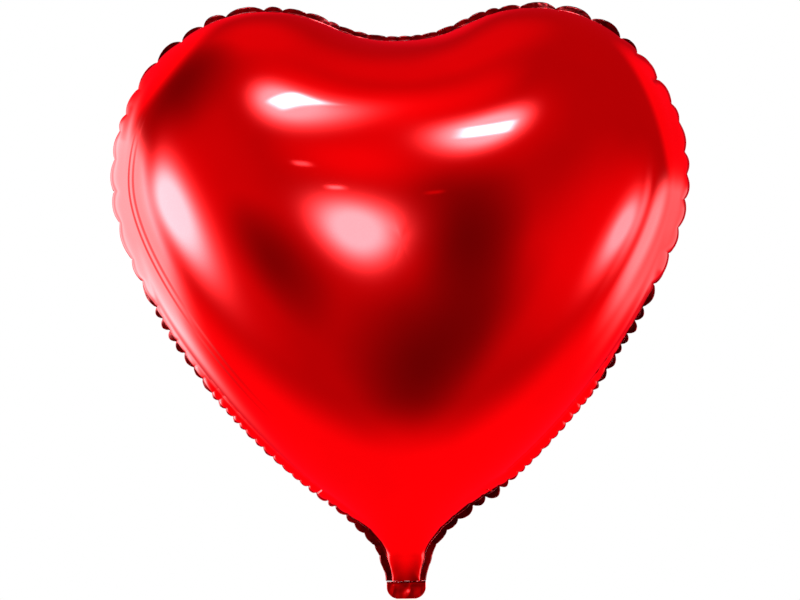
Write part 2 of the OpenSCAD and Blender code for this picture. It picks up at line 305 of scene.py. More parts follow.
# Zones of the rim along half the outline: a share of its length; the length of a puff and how far
# it stands proud of the plain film, each on the right and the left; how deep the film dips between
# two puffs; the welded band's width; how deep and how roundly it is cut between two teeth; how far
# the weld lies behind; and how far the band leans back, on the right and the left. Lengths are in
# millimetres and leans in degrees.
PITCH, PROUD, LEAN = {1: 1, -1: 2}, {1: 3, -1: 4}, {1: 10, -1: 11}
DIP, WIDTH, CUT, FORM, BEHIND = 5, 6, 7, 8, 9
ZONE_UNITS = (1, MM, MM, MM, MM, MM, MM, 1, 1, MM, 1, 1)
RIM_ZONES = (
    # share, pitch, pitch, proud, proud, dip, width, cut, form, behind, lean, lean
    (0.00, 13, 13, 0.2, 0.2, 0.1, 4.4, 0.15, 2.0, 0.0, 11, 11),
    (0.10, 15, 15, 0.2, 0.2, 0.2, 4.8, 0.25, 2.0, 0.0, 11, 11),
    (0.16, 26, 26, 0.4, 0.4, 0.6, 5.2, 0.65, 2.4, 0.0, 12, 12),
    (0.26, 25, 25, 1.4, 0.4, 1.6, 5.0, 0.75, 2.4, 0.5, 10, 18),
    (0.31, 20, 20, 4.0, 3.4, 2.6, 3.8, 0.70, 2.2, 2.0, 84, 62),
    (0.35, 19, 19, 4.4, 4.4, 3.0, 3.0, 0.50, 2.2, 4.0, 86, 84),
    (0.39, 25, 25, 5.0, 5.0, 3.2, 3.0, 0.50, 2.2, 4.0, 86, 84),
    (0.50, 28, 28, 5.2, 5.4, 3.2, 3.0, 0.50, 2.2, 4.0, 86, 84),
    (0.55, 22, 22, 4.4, 5.0, 2.6, 3.0, 0.50, 2.0, 4.0, 84, 84),
    (0.58, 15, 15, 1.6, 3.0, 1.6, 4.4, 0.70, 1.8, 1.0, 12, 40),
    (0.64, 13, 13, 2.2, 3.6, 1.0, 4.0, 0.70, 1.8, 0.0, 10, 35),
    (0.68, 12, 12, 4.4, 4.8, 1.0, 3.8, 0.70, 1.6, 0.0, 12, 50),
    (0.71, 8, 8, 6.8, 6.2, 1.0, 3.6, 0.60, 1.0, 0.0, 70, 66),
    (0.79, 9, 9, 7.2, 5.6, 1.0, 3.6, 0.60, 1.0, 0.0, 70, 66),
    (0.83, 9, 9, 7.8, 5.8, 1.0, 3.6, 0.60, 1.0, 0.0, 70, 78),
    (0.86, 17, 9, 4.8, 5.6, 1.4, 5.6, 0.55, 2.0, 0.0, 9, 72),
    (0.90, 19, 10, 1.8, 4.4, 1.0, 6.4, 0.45, 1.9, 0.0, 9, 60),
    (0.93, 18, 14, 0.3, 0.6, 0.4, 6.8, 0.22, 1.8, 0.0, 12, 18),
    (0.97, 15, 15, 0.0, 0.0, 0.0, 7.0, 0.06, 2.0, 0.0, 25, 19),
    (1.00, 14, 14, 0.0, 0.0, 0.0, 6.0, 0.03, 2.0, 0.0, 22, 18),
)


class Rim:
    """Creases and puffs along one side of the outline: side is 1 on the right, -1 on the left."""

    # How unlike each other the puffs' lengths, the dips' depths and the dips' reaches are
    PITCH_SPREAD = (0.72, 1.3)
    PULL_SPREAD = (0.6, 1.25)
    REACH_SPREAD = (0.75, 1.3)
    # How far puffs and dips reach into the film, over a puff's length, and how round a dip is
    PUFF_LONG = 1.6
    DIP_LONG = 1.15
    DIP_FORM = 2.2
    REAR_DIP = 0.8
    # The sharp crease between two puffs: its width, depth over the dip's, and reach over the dip's
    CREASE_WIDE = 1.5 * MM
    CREASE_DEEP = 0.42
    CREASE_SHORT = 0.55
    # How far the weld line wanders forward and back: over a puff's length, and at most
    WANDER = 0.05
    MOST_WANDER = 0.8 * MM
    # Fewest mesh columns in a puff, how much they crowd at the creases, and the least last gap
    FEWEST = 6
    CROWDED = 0.6
    LAST_GAP = 0.3 * MM

    def __init__(self, outline, side, seed):
        self.outline, self.side = outline, side
        draw = np.random.RandomState(seed)
        places = [0.0]
        while places[-1] < outline.total:
            pitch = self.zone(places[-1], PITCH[side])
            places.append(places[-1] + pitch * draw.uniform(*self.PITCH_SPREAD))
        self.places = np.array(places)
        count = len(places)
        self.pull = draw.uniform(*self.PULL_SPREAD, count)
        spread = draw.uniform(*self.REACH_SPREAD, count)
        self.reach = spread * np.gradient(self.places) * self.DIP_LONG
        self.tip = draw.uniform(-1, 1, count)
        self.lean = draw.uniform(-1, 1, count)

    def zone(self, s, column):
        """One column of the rim's zones at lengths s."""
        table = np.array(RIM_ZONES) * ZONE_UNITS
        return np.interp(np.asarray(s) / self.outline.total, table[:, 0], table[:, column])

    def columns(self, s_end, spacing):
        """Lengths for the mesh's columns, closer together at the creases."""
        found = []
        for a, b in zip(self.places[:-1], self.places[1:]):
            count = max(self.FEWEST, int(round((b - a) / spacing)))
            t = np.arange(count) / count
            crowded = 0.5 - 0.5 * np.cos(math.pi * t)
            found.append(a + (b - a) * ((1 - self.CROWDED) * t + self.CROWDED * crowded))
        s = np.concatenate(found)
        s = s[s < s_end - self.LAST_GAP]
        return np.append(s, s_end)

    def phase(self, s):
        """Which puff a length lies in, and its share of the way through it."""
        k = np.clip(np.searchsorted(self.places, s, side="right") - 1, 0, len(self.places) - 2)
        a, b = self.places[k], self.places[k + 1]
        return k, np.clip((s - a) / (b - a), 0, 1), b - a

    def mixed(self, values, k, share):
        """A value of the creases, mixed between the two that bound a puff."""
        return values[k] * (1 - smooth(share)) + values[k + 1] * smooth(share)

    def offset(self, s, run, rear):
        """How far the film stands proud of the plain dome, at s along the edge and run from it."""
        k, share, pitch = self.phase(s)
        dip = self.zone(s, DIP) * self.mixed(self.pull, k, share) * (self.REAR_DIP if rear else 1)
        from_middle = np.abs(2 * share - 1)
        crease = np.exp(-((1 - from_middle) * pitch / self.CREASE_WIDE) ** 2)
        proud = self.zone(s, PROUD[self.side])
        reach = self.mixed(self.reach, k, share)
        dip_end = 1 - smooth(run / reach)
        crease_end = self.CREASE_DEEP * (1 - smooth(run / (self.CREASE_SHORT * reach)))
        puff_end = 1 - smooth(run / (self.PUFF_LONG * self.zone(s, PITCH[self.side])))
        return proud * puff_end - dip * (from_middle**self.DIP_FORM * dip_end + crease * crease_end)

    def behind(self, s):
        """How far the weld line lies behind the weld plane."""
        k, share, pitch = self.phase(s)
        wave = self.mixed(self.lean, k, share) * np.minimum(self.WANDER * pitch, self.MOST_WANDER)
        shoulder, neck = self.outline.shoulder_s, self.outline.neck_s
        fade = 1 - smooth((s - shoulder) / (neck - shoulder))
        return (self.zone(s, BEHIND) + wave) * fade

    def crinkle(self, s):
        """How crumpled the film is, from 0 to 1: most at the creases."""
        _, share, _ = self.phase(s)
        return np.abs(2 * share - 1) ** 3


# Meshes and materials


def new_object(name, points, faces, material, smooth_faces=True):
    """A mesh object from points and faces."""
    mesh = bpy.data.meshes.new(name)
    mesh.from_pydata([tuple(p) for p in points], [], [tuple(f) for f in faces])
    if smooth_faces:
        mesh.shade_smooth()
    mesh.materials.append(material)
    mesh.validate()
    made = bpy.data.objects.new(name, mesh)
    bpy.context.scene.collection.objects.link(made)
    return made


def point_value(made, name, values):
    """Stores one number per point, for the material to read."""
    attribute = made.data.attributes.new(name, "FLOAT", "POINT")
    attribute.data.foreach_set("value", np.asarray(values, np.float32))


def grid_faces(index):
    """Quads over a grid of point numbers."""
    a, b, c, d = index[:-1, :-1], index[:-1, 1:], index[1:, 1:], index[1:, :-1]
    return np.stack([a, b, c, d], -1).reshape(-1, 4)


def point_normals(points, faces):
    """Directions across a mesh of quads at its points."""
    corner = points[faces]
    across = np.cross(corner[:, 2] - corner[:, 0], corner[:, 3] - corner[:, 1])
    total = np.zeros_like(points)
    for k in range(faces.shape[1]):
        np.add.at(total, faces[:, k], across)
    return total / (np.linalg.norm(total, axis=1)[:, None] + 1e-12)


def add_node(tree, kind, **values):
    """A node with its own settings; keys that are names of inputs set their defaults."""
    node = tree.nodes.new(kind)
    for key, value in values.items():
        if key in node.inputs:
            node.inputs[key].default_value = value
        else:
            setattr(node, key, value)
    return node


def foil_material(name, light, dark, roughness, coat, tone_scale, ripple, crinkle, crinkle_scale):
    """Lacquered metallised film: tone and gloss vary a little, creases are finely crinkled."""
    made = bpy.data.materials.new(name)
    made.use_nodes = True
    made.diffuse_color = (*light, 1)
    tree = made.node_tree
    tree.nodes.clear()
    link = tree.links.new
    place = add_node(tree, "ShaderNodeTexCoord")
    shader = add_node(tree, "ShaderNodeBsdfPrincipled", Metallic=1.0)
    shader.inputs["Specular Tint"].default_value = (1, 0.02, 0.03, 1)
    shader.inputs["Coat Weight"].default_value = coat
    shader.inputs["Coat Roughness"].default_value = 0.04
    shader.inputs["Coat IOR"].default_value = 1.5
    out = add_node(tree, "ShaderNodeOutputMaterial")
    link(shader.outputs["BSDF"], out.inputs["Surface"])
    tone = add_node(tree, "ShaderNodeTexNoise", Scale=tone_scale, Detail=3.0, Roughness=0.55)
    link(place.outputs["Object"], tone.inputs["Vector"])
    mix = add_node(tree, "ShaderNodeMix", data_type="RGBA")
    mix.inputs["A"].default_value = (*dark, 1)
    mix.inputs["B"].default_value = (*light, 1)
    spread = add_node(tree, "ShaderNodeMapRange")
    spread.inputs["From Min"].default_value = 0.35
    spread.inputs["From Max"].default_value = 0.6
    link(tone.outputs["Fac"], spread.inputs["Value"])
    link(spread.outputs["Result"], mix.inputs["Factor"])
    link(mix.outputs["Result"], shader.inputs["Base Color"])
    fine = add_node(tree, "ShaderNodeTexNoise", Scale=crinkle_scale, Detail=4.0, Roughness=0.6)
    link(place.outputs["Object"], fine.inputs["Vector"])
    gloss = add_node(tree, "ShaderNodeMapRange")
    gloss.inputs["To Min"].default_value = 0.8 * roughness
    gloss.inputs["To Max"].default_value = 1.2 * roughness
    link(fine.outputs["Fac"], gloss.inputs["Value"])
    link(gloss.outputs["Result"], shader.inputs["Roughness"])
    broad = add_node(tree, "ShaderNodeTexNoise", Scale=14.0, Detail=2.0, Roughness=0.5)
    link(place.outputs["Object"], broad.inputs["Vector"])
    wave = add_node(tree, "ShaderNodeBump", Strength=ripple, Distance=1 * MM)
    link(broad.outputs["Fac"], wave.inputs["Height"])
    creased = add_node(tree, "ShaderNodeAttribute", attribute_name="crumple")
    amount = add_node(tree, "ShaderNodeMath", operation="MULTIPLY")
    amount.inputs[1].default_value = crinkle
    link(creased.outputs["Fac"], amount.inputs[0])
    folds = add_node(tree, "ShaderNodeBump", Distance=0.5 * MM)
    link(amount.outputs[0], folds.inputs["Strength"])
    link(fine.outputs["Fac"], folds.inputs["Height"])
    link(wave.outputs["Normal"], folds.inputs["Normal"])
    link(folds.outputs["Normal"], shader.inputs["Normal"])
    return made


def foil_red():
    """The mirror-red film of the heart, the tail and the flat end."""
    _, finish, _ = settings()
    found = bpy.data.materials.get("mirror_red_foil")
    return found or foil_material(
        "mirror_red_foil", finish.red, finish.deep_red, roughness=0.045, coat=1.0,
        tone_scale=9.0, ripple=0.02, crinkle=0.05, crinkle_scale=420.0,
    )


def foil_weld():
    """The darker, finely crinkled foil of the welded bands."""
    _, finish, _ = settings()
    found = bpy.data.materials.get("crinkled_weld_foil")
    return found or foil_material(
        "crinkled_weld_foil", finish.weld_red, finish.weld_dark, roughness=0.08, coat=0.4,
        tone_scale=160.0, ripple=0.02, crinkle=0.06, crinkle_scale=900.0,
    )


# Operators


class FOIL_OT_films(bpy.types.Operator):
    """Build the front and rear films of the heart and the tail"""

    bl_idname = "foil.films"
    bl_label = "Films"

    # The net: columns along the edge, rings up to the apex and how they crowd at the edge, and rows
    # across the tip and tail below the cut
    COLUMN = 1.25 * MM
    RINGS = 60
    RING_FORM = 1.3
    ACROSS = 44
    ROW = 1.0 * MM
    CUT_Z = 58 * MM
    # How far from the weld the film is crumpled, and drawn back with the weld
    CRUMPLED_RUN = 22 * MM
    BACK_RUN = 18 * MM
    # The apex has no nearest edge: one that is out of every puff's reach stands for it
    FAR = 9
    ON_EDGE = 1e-9

    def execute(self, context):
        shape, _, _ = settings()
        outline = Outline(shape)
        dome = Dome(shape, outline)
        rims = {1: Rim(outline, 1, shape.seed), -1: Rim(outline, -1, shape.seed + 1)}
        flat, edge, s, side, faces = self.flat_net(outline, dome, rims)
        height = dome.height(flat)
        on_edge = np.linalg.norm(flat - edge, axis=1) < self.ON_EDGE
        height[on_edge] = 0
        out = point_normals(np.stack([flat[:, 0], -height, flat[:, 1]], -1), faces)
        _, edge_out = outline.at(s)
        edge_out = np.stack([edge_out[:, 0] * side, 0 * s, edge_out[:, 1]], -1)
        out[on_edge] = edge_out[on_edge]
        run = np.hypot(np.linalg.norm(flat - edge, axis=1), height)
        for name, facing, replaced in (
            ("front_foil", -1, ("front_panel", "tail_front_film")),
            ("rear_foil", 1, ("rear_panel", "tail_rear_film")),
        ):
            points = np.stack([flat[:, 0], facing * height, flat[:, 1]], -1)
            lift, back, crumple = (np.zeros(len(s)) for _ in range(3))
            for which, rim in rims.items():
                mine = side == which
                lift[mine] = rim.offset(s[mine], run[mine], facing > 0)
                back[mine] = rim.behind(s[mine])
                crumple[mine] = rim.crinkle(s[mine])
            points += lift[:, None] * out * (1, -facing, 1)
            points[:, 1] += back * (1 - smooth(run / self.BACK_RUN))
            turned = faces if facing < 0 else faces[:, ::-1]
            made = new_object(name, points, self.quads(turned), foil_red())
            point_value(made, "crumple", crumple * (1 - smooth(run / self.CRUMPLED_RUN)))
            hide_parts(*replaced)
            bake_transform(made)
        return {"FINISHED"}

    @staticmethod
    def quads(faces):
        """Faces with the doubled corner of triangles left out."""
        return [tuple(dict.fromkeys(f)) for f in faces.tolist()]

    def flat_net(self, outline, dome, rims):
        """A net over the flat outline: rings round the apex above the cut, rows across it below.

        Returns its points, each point's nearest edge point, length along the edge, side, and faces.
        """
        cut_s = float(outline.s_at_height(self.CUT_Z))
        lengths = {w: rim.columns(cut_s, self.COLUMN) for w, rim in rims.items()}
        turn = np.linspace(math.pi / 2, -math.pi / 2, self.ACROSS + 1)
        chord_x = outline.half_width(self.CUT_Z) * np.sin(turn)
        right, _ = outline.at(lengths[1])
        left, _ = outline.at(lengths[-1][:0:-1])
        left = left * (-1, 1)
        chord = np.stack([chord_x[1:-1], np.full(self.ACROSS - 1, self.CUT_Z)], -1)
        loop = np.vstack([right, chord, left])
        loop_s = np.concatenate([lengths[1], np.full(len(chord), cut_s), lengths[-1][:0:-1]])
        loop_side = np.where(np.arange(len(loop)) < len(right) + len(chord) // 2, 1, -1)
        columns = len(loop)
        share = (np.arange(self.RINGS) / self.RINGS) ** self.RING_FORM
        rings = loop[None] + (dome.apex - loop)[None] * (share**2)[:, None, None]
        index = np.arange(self.RINGS * columns).reshape(self.RINGS, columns)
        index = np.hstack([index, index[:, :1]])
        apex = self.RINGS * columns
        faces = [grid_faces(index)]
        tip = np.full(columns, apex)
        faces.append(np.stack([index[-1, :-1], index[-1, 1:], tip, tip], -1))
        edge = np.broadcast_to(loop, rings.shape).copy()
        in_chord = np.arange(len(right), len(right) + len(chord))
        edge[:, in_chord, 0] = np.where(chord[:, 0] > 0, chord_x[0], chord_x[-1])
        rows = np.arange(self.CUT_Z, outline.z[-1], -self.ROW)[1:]
        rows = np.append(rows[rows > outline.z[-1] + 0.4 * self.ROW], outline.z[-1])
        half = outline.half_width(rows)
        strip = np.stack([half[:, None] * np.sin(turn), np.repeat(rows[:, None], len(turn), 1)], -1)
        strip_edge = strip.copy()
        strip_edge[..., 0] = np.where(turn > 0, 1, -1) * half[:, None]
        strip_index = apex + 1 + np.arange(strip.shape[0] * len(turn)).reshape(-1, len(turn))
        top = np.concatenate([[len(right) - 1], in_chord, [len(right) + len(chord)]])
        faces.append(grid_faces(np.vstack([top, strip_index]))[:, ::-1])
        flat = np.vstack([rings.reshape(-1, 2), dome.apex[None], strip.reshape(-1, 2)])
        far = dome.apex[None] * (0, 1) + (self.FAR, 0)
        edges = np.vstack([edge.reshape(-1, 2), far, strip_edge.reshape(-1, 2)])
        strip_s = np.repeat(outline.s_at_height(rows)[:, None], len(turn), 1)
        s = np.concatenate([np.tile(loop_s, self.RINGS), [0], strip_s.ravel()])
        strip_side = np.broadcast_to(np.where(turn > 0, 1, -1), strip_s.shape)
        side = np.concatenate([np.tile(loop_side, self.RINGS), [1], strip_side.ravel()])
        return flat, edges, s, side, np.vstack(faces)[:, ::-1]


class FOIL_OT_rim_band(bpy.types.Operator):
    """Build the welded band round the heart and down both sides of the tail"""

    bl_idname = "foil.rim_band"
    bl_label = "Welded rim"

    COLUMN = 0.8 * MM
    ACROSS = 6
    THICK = 0.25 * MM
    # How unlike the teeth's widths are, over their cut, and their leans, in degrees
    UNEVEN = 0.4
    UNEVEN_LEAN = 2.5
    # Folds and fine crinkles: length along the band, count across it, and depth
    FOLD = (2.6 * MM, 2.5, 0.14 * MM)
    FINE = (1.3 * MM, 4, 0.04 * MM)
    FOLD_STRETCH = 0.04

    def execute(self, context):
        shape, _, _ = settings()
        outline = Outline(shape)
        halves = [self.half(Rim(outline, w, shape.seed + (w < 0))) for w in (1, -1)]
        front = np.vstack([halves[0][::-1], halves[1][1:]])
        across = np.gradient(front, axis=1)
        along = np.gradient(front, axis=0)
        normal = np.cross(across, along)
        normal /= np.linalg.norm(normal, axis=2)[..., None] + 1e-12
        normal *= np.where(normal[..., 1:2] > 0, 1, -1)
        back = front + self.THICK * normal
        rows = front.shape[0]
        ring = np.concatenate([front, back[:, ::-1]], axis=1)
        index = np.arange(rows * ring.shape[1]).reshape(rows, -1)
        index = np.hstack([index, index[:, :1]])
        faces = grid_faces(index).tolist()
        faces += [index[0, :-1].tolist()[::-1], index[-1, :-1].tolist()]
        made = new_object("rim_band", ring.reshape(-1, 3), faces, foil_weld())
        point_value(made, "crumple", np.ones(rows * ring.shape[1]))
        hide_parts("rim_seam", "tail_seam_left", "tail_seam_right")
        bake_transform(made)
        return {"FINISHED"}

    def half(self, rim):
        """Points of the band's front face on one side, from the notch to the base weld."""
        outline = rim.outline
        s = np.arange(0, outline.total, self.COLUMN)
        point, out = outline.at(s)
        k, share, _ = rim.phase(s)
        seam = point + out * rim.offset(s, 0 * s, False)[:, None]
        from_middle = np.abs(2 * share - 1)
        cut = rim.zone(s, CUT)
        width = rim.zone(s, WIDTH) * (1 - cut * from_middle ** rim.zone(s, FORM))
        width = width * (1 + self.UNEVEN * cut * rim.tip[k])
        wander = self.UNEVEN_LEAN * rim.mixed(rim.tip, k, share)
        angle = np.radians(rim.zone(s, LEAN[rim.side]) + wander)
        t = np.linspace(0, 1, self.ACROSS + 1)
        reach = width[:, None] * t
        long, count, deep = self.FOLD
        fold = lattice_noise(s[:, None] / long + 7 * rim.side, t * count, 3)
        fine_long, fine_count, fine_deep = self.FINE
        fine = lattice_noise(s[:, None] / fine_long, t * fine_count, 5)
        y = rim.behind(s)[:, None] + reach * np.sin(angle)[:, None]
        y = y + t * (deep * fold + fine_deep * fine)
        run = reach * np.cos(angle)[:, None] * (1 + self.FOLD_STRETCH * fold)
        flat = seam[:, None] + out[:, None] * run[..., None]
        return np.stack([rim.side * flat[..., 0], y, flat[..., 1]], -1)


class FOIL_OT_base_weld(bpy.types.Operator):
    """Build the crinkled weld across the foot of the tail"""

    bl_idname = "foil.base_weld"
    bl_label = "Base weld"

    COLUMNS = 120
    ROWS = 10
    # Crimped ridges: length along the weld, count round it, and their shares of the thickness and
    # of the height beside a plain share
    RIDGE = 2.6 * MM
    RIDGES_ROUND = 1.5
    THICK_SHARES = (0.78, 0.22)
    TALL_SHARES = (0.95, 0.12)
    # How far and over what length the weld sags, where and how much it thins out towards its ends,
    # and how boxy its section is
    SAG = 0.35 * MM
    SAG_LONG = 6 * MM
    THIN_FROM = 0.55
    THINNER = 0.6
    BOXY = 0.4

    def execute(self, context):
        half = WELD_HIGH.x
        thick = WELD_HIGH.y
        x = np.linspace(-half, half, self.COLUMNS)
        t = np.linspace(0, 2 * math.pi, 2 * self.ROWS, endpoint=False)
        low, high = WELD_LOW.z, WELD_HIGH.z
        middle, tall = (low + high) / 2, (high - low) / 2
        ridge = lattice_noise(x[:, None] / self.RIDGE, np.cos(t) * self.RIDGES_ROUND, 8)
        sag = self.SAG * lattice_noise(x / self.SAG_LONG, 0 * x, 9)
        past = (np.abs(x) - self.THIN_FROM * half) / ((1 - self.THIN_FROM) * half)
        taper = 1 - self.THINNER * smooth(past)
        flatter = np.sign(np.cos(t)) * np.abs(np.cos(t)) ** self.BOXY
        plain, ridged = self.THICK_SHARES
        y = thick * taper[:, None] * flatter * (plain + ridged * ridge)
        plain, ridged = self.TALL_SHARES
        z = middle + sag[:, None] + tall * np.sin(t) * (plain + ridged * ridge)
        points = np.stack([np.broadcast_to(x[:, None], y.shape), y, z], -1)
        index = np.arange(points[..., 0].size).reshape(self.COLUMNS, -1)
        index = np.hstack([index, index[:, :1]])
        faces = grid_faces(index)[:, ::-1].tolist()
        faces += [index[0, :-1].tolist(), index[-1, :-1].tolist()[::-1]]
        made = new_object("base_weld_crimp", points.reshape(-1, 3), faces, foil_weld())
        point_value(made, "crumple", np.ones(index[:, :-1].size))
        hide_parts("valve_base_weld")
        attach(made, "tail")
        return {"FINISHED"}


# The stretch over which the flat end folds below the base weld, and its two side welds
END_BANDS = ("tail_end_seam_left", "tail_end_seam_right")


class FOIL_OT_flat_end(bpy.types.Operator):
    """Build the two crinkled layers of the tail's flat end"""

    bl_idname = "foil.flat_end"
    bl_label = "Flat end"

    COLUMNS = 66
    ROWS = 44
    THICK = 0.16 * MM
    PART = 0.12 * MM
    CORNER = 10 * MM
    CORNER_MOST = 0.985
    # How far it curls back over its length, and gapes at its mouth
    CURL = 0.15
    GAPE = 0.5 * MM
    # Folds and small crumples: length across, length down, and depth
    FOLD = (7 * MM, 9 * MM, 0.6 * MM)
    SMALL = (3.2 * MM, 4.5 * MM, 0.13 * MM)
    FOLD_MIDDLE = 0.35
    # How far up it is tucked into the base weld, and how far below that the film comes free
    TUCK = 0.6 * MM
    FREE = 3 * MM
    # Where the side welds start, and over what share of the half width they close the layers
    WELD_FROM = 0.72
    WELD_OVER = 0.12

    def execute(self, context):
        for name, facing, replaced in (
            ("flat_end_front", -1, ("tail_end_front_film", *END_BANDS)),
            ("flat_end_rear", 1, ("tail_end_rear_film",)),
        ):
            inner = self.layer(facing, self.PART)
            outer = self.layer(facing, self.PART + self.THICK)
            index = np.arange(inner[..., 0].size).reshape(inner.shape[:2])
            far = index + index.size
            faces = [grid_faces(index), grid_faces(far)[:, ::-1]]
            sides = (index[0, :-1], index[:-1, -1], index[-1, :0:-1], index[:0:-1, 0])
            border = np.concatenate(sides)
            step = np.roll(border, -1)
            faces.append(np.stack([border, border + index.size, step + index.size, step], -1))
            faces = np.vstack(faces)
            faces = faces if facing > 0 else faces[:, ::-1]
            points = np.vstack([inner.reshape(-1, 3), outer.reshape(-1, 3)])
            made = new_object(name, points, faces.tolist(), foil_red())
            point_value(made, "crumple", np.ones(len(points)))
            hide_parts(*replaced)
            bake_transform(made)
        return {"FINISHED"}

    def layer(self, facing, away):
        """One face of a layer: crumpled, rounded below, closed at the sides by their welds."""
        half = END_BAND_HIGH.x
        top, low = WELD_LOW.z + self.TUCK, END_LOW.z
        v = np.linspace(0, 1, self.ROWS)
        z = top + (low - top) * v
        into = np.clip((low + self.CORNER - z) / self.CORNER, 0, 1)
        rounded = np.sqrt(1 - np.minimum(into, self.CORNER_MOST) ** 2)
        width = half - self.CORNER * (1 - rounded)
        x = width[:, None] * np.linspace(-1, 1, self.COLUMNS)
        z = np.repeat(z[:, None], self.COLUMNS, 1)
        across, down, deep = self.FOLD
        folds = np.abs(lattice_noise(x / across + 3, z / down + 5, 21)) - self.FOLD_MIDDLE
        small_across, small_down, small_deep = self.SMALL
        small = lattice_noise(x / small_across, z / small_down, 22)
        free = smooth((top - z) / self.FREE)
        crumple = free * (deep * folds + small_deep * small)
        welded = smooth((np.abs(x) - self.WELD_FROM * half) / (self.WELD_OVER * half))
        gape = self.GAPE * free * (1 - welded) * smooth((top - z) / (top - low))
        y = crumple + self.CURL * (top - z) + facing * (away + gape)
        return np.stack([x, y, z], -1)


class FOIL_OT_valve(bpy.types.Operator):
    """Give the flat valve inside the neck its milky film"""

    bl_idname = "foil.valve"
    bl_label = "Valve"

    CLOUDY = 0.86
    CLOUDS = 180.0
    ROUGH = 0.32

    def execute(self, context):
        _, finish, _ = settings()
        made = bpy.data.materials.new("milky_valve_film")
        made.use_nodes = True
        tree = made.node_tree
        shader = tree.nodes["Principled BSDF"]
        place = add_node(tree, "ShaderNodeTexCoord")
        cloud = add_node(tree, "ShaderNodeTexNoise", Scale=self.CLOUDS, Detail=3.0)
        tree.links.new(place.outputs["Object"], cloud.inputs["Vector"])
        mix = add_node(tree, "ShaderNodeMix", data_type="RGBA")
        mix.inputs["A"].default_value = (*[self.CLOUDY * c for c in finish.valve_film], 1)
        mix.inputs["B"].default_value = (*finish.valve_film, 1)
        tree.links.new(cloud.outputs["Fac"], mix.inputs["Factor"])
        tree.links.new(mix.outputs["Result"], shader.inputs["Base Color"])
        shader.inputs["Roughness"].default_value = self.ROUGH
        for node in ("valve_front_film", "valve_rear_film"):
            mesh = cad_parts[node].data
            mesh.materials.clear()
            mesh.materials.append(made)
        return {"FINISHED"}


# The studio

# Soft patches of the studio that the foil mirrors, one laid over the other: angle from the
# camera's direction and bearing round it from the right, half sizes away from that direction and
# round it, turn, fading share of the half sizes, squareness and level; all angles in degrees.
# First the light and dark tones of the red room, then the lamps and the dark lines between them.
ROOM_TONES = (
    # angle, bearing, half away, half round, turn, fade, squareness, level
    (150, 138, 40, 30, 0, 0.6, 2, 0.95),
    (98, 98, 38, 29, 0, 0.8, 2, 0.80),
    (50, 170, 31, 48, 0, 0.8, 2, 0.68),
    (56, -12, 34, 39, 0, 0.9, 2, 0.88),
    (88, 137, 33, 33, 0, 1.0, 2, 0.20),
    (126, 138, 31, 24, 0, 0.65, 2, 1.4),
    (33, -74, 29, 40, 0, 1.0, 2, 0.16),
    (18, -6, 18, 43, 22, 1.0, 2, 0.17),
    (38, -162, 19, 21, 0, 1.0, 2, 0.24),
    (30, 106, 17, 22, 0, 0.9, 2, 1.0),
    (112, -90, 73, 90, 0, 0.44, 2, 1.15),
    (126, 18, 26, 30, 0, 0.4, 2, 1.1),
    (140, -36, 20, 16, 0, 0.7, 2, 1.2),
    (72, 185, 34, 44, 14, 1.0, 2, 1.15),
    (76, -12, 30, 34, -17, 1.0, 2, 1.1),
    (57, 101, 24, 32, 52, 1.0, 2, 1.0),
    (54, 90, 26, 16, 0, 1.0, 2, 1.1),
    (41, 70, 25, 25, 0, 1.0, 2, 0.82),
    (11, 156, 26, 26, 0, 1.0, 2, 0.76),
    (18.2, 68, 0.9, 2.8, 22, 0.8, 3, 0.72),
    (116.5, 188, 2.6, 37, 0, 0.7, 3, 0.42),
    (109, 189, 2.6, 38, 0, 0.7, 3, 0.5),
)
LAMPS = (
    # angle, bearing, half away, half round, turn, fade, squareness, level
    (126, 186, 40, 34, 0, 0.5, 3, 3.2),
    (152, 181, 20, 18, 0, 0.6, 3, 1.1),
    (104, 185, 22, 33, 0, 0.6, 3, 4.4),
    (116.5, 188, 2.6, 37, 0, 0.7, 3, 0.72),
    (109, 189, 2.6, 38, 0, 0.7, 3, 1.2),
    (114, -15, 28, 23, 0, 0.55, 3, 1.05),
    (138, -14, 18.5, 14, 0, 0.6, 3, 0.6),
    (101, -15, 15, 23, 0, 0.8, 3, 4.0),
    (87, -11, 6, 26, 0, 0.9, 3, 0.7),
    (74, 185, 32, 38, 14, 0.8, 2, 14),
    (76.5, -13, 20, 24, -20, 0.85, 2, 7.0),
    (53.3, 107, 18.5, 25, 46, 0.8, 2, 7.8),
    (41.5, 71, 19, 17, -20, 0.77, 2, 8.8),
    (55.2, 104.6, 3.0, 8.4, 33, 0.5, 6, 35),
    (41.4, 70.2, 3.2, 6.0, 14, 0.5, 6, 35),
    (11.3, 158, 24, 24, 0, 0.83, 2, 10.5),
    (31, 127, 1.8, 4.4, -25, 0.8, 3, 1.8),
    (22, 126, 1.2, 3.4, -25, 0.8, 3, 4.0),
)


def studio_direction(angle, bearing):
    """The direction at an angle from the camera's, on a bearing round it from the right."""
    a, b = math.radians(angle), math.radians(bearing)
    return np.array((math.sin(a) * math.cos(b), -math.cos(a), math.sin(a) * math.sin(b)))


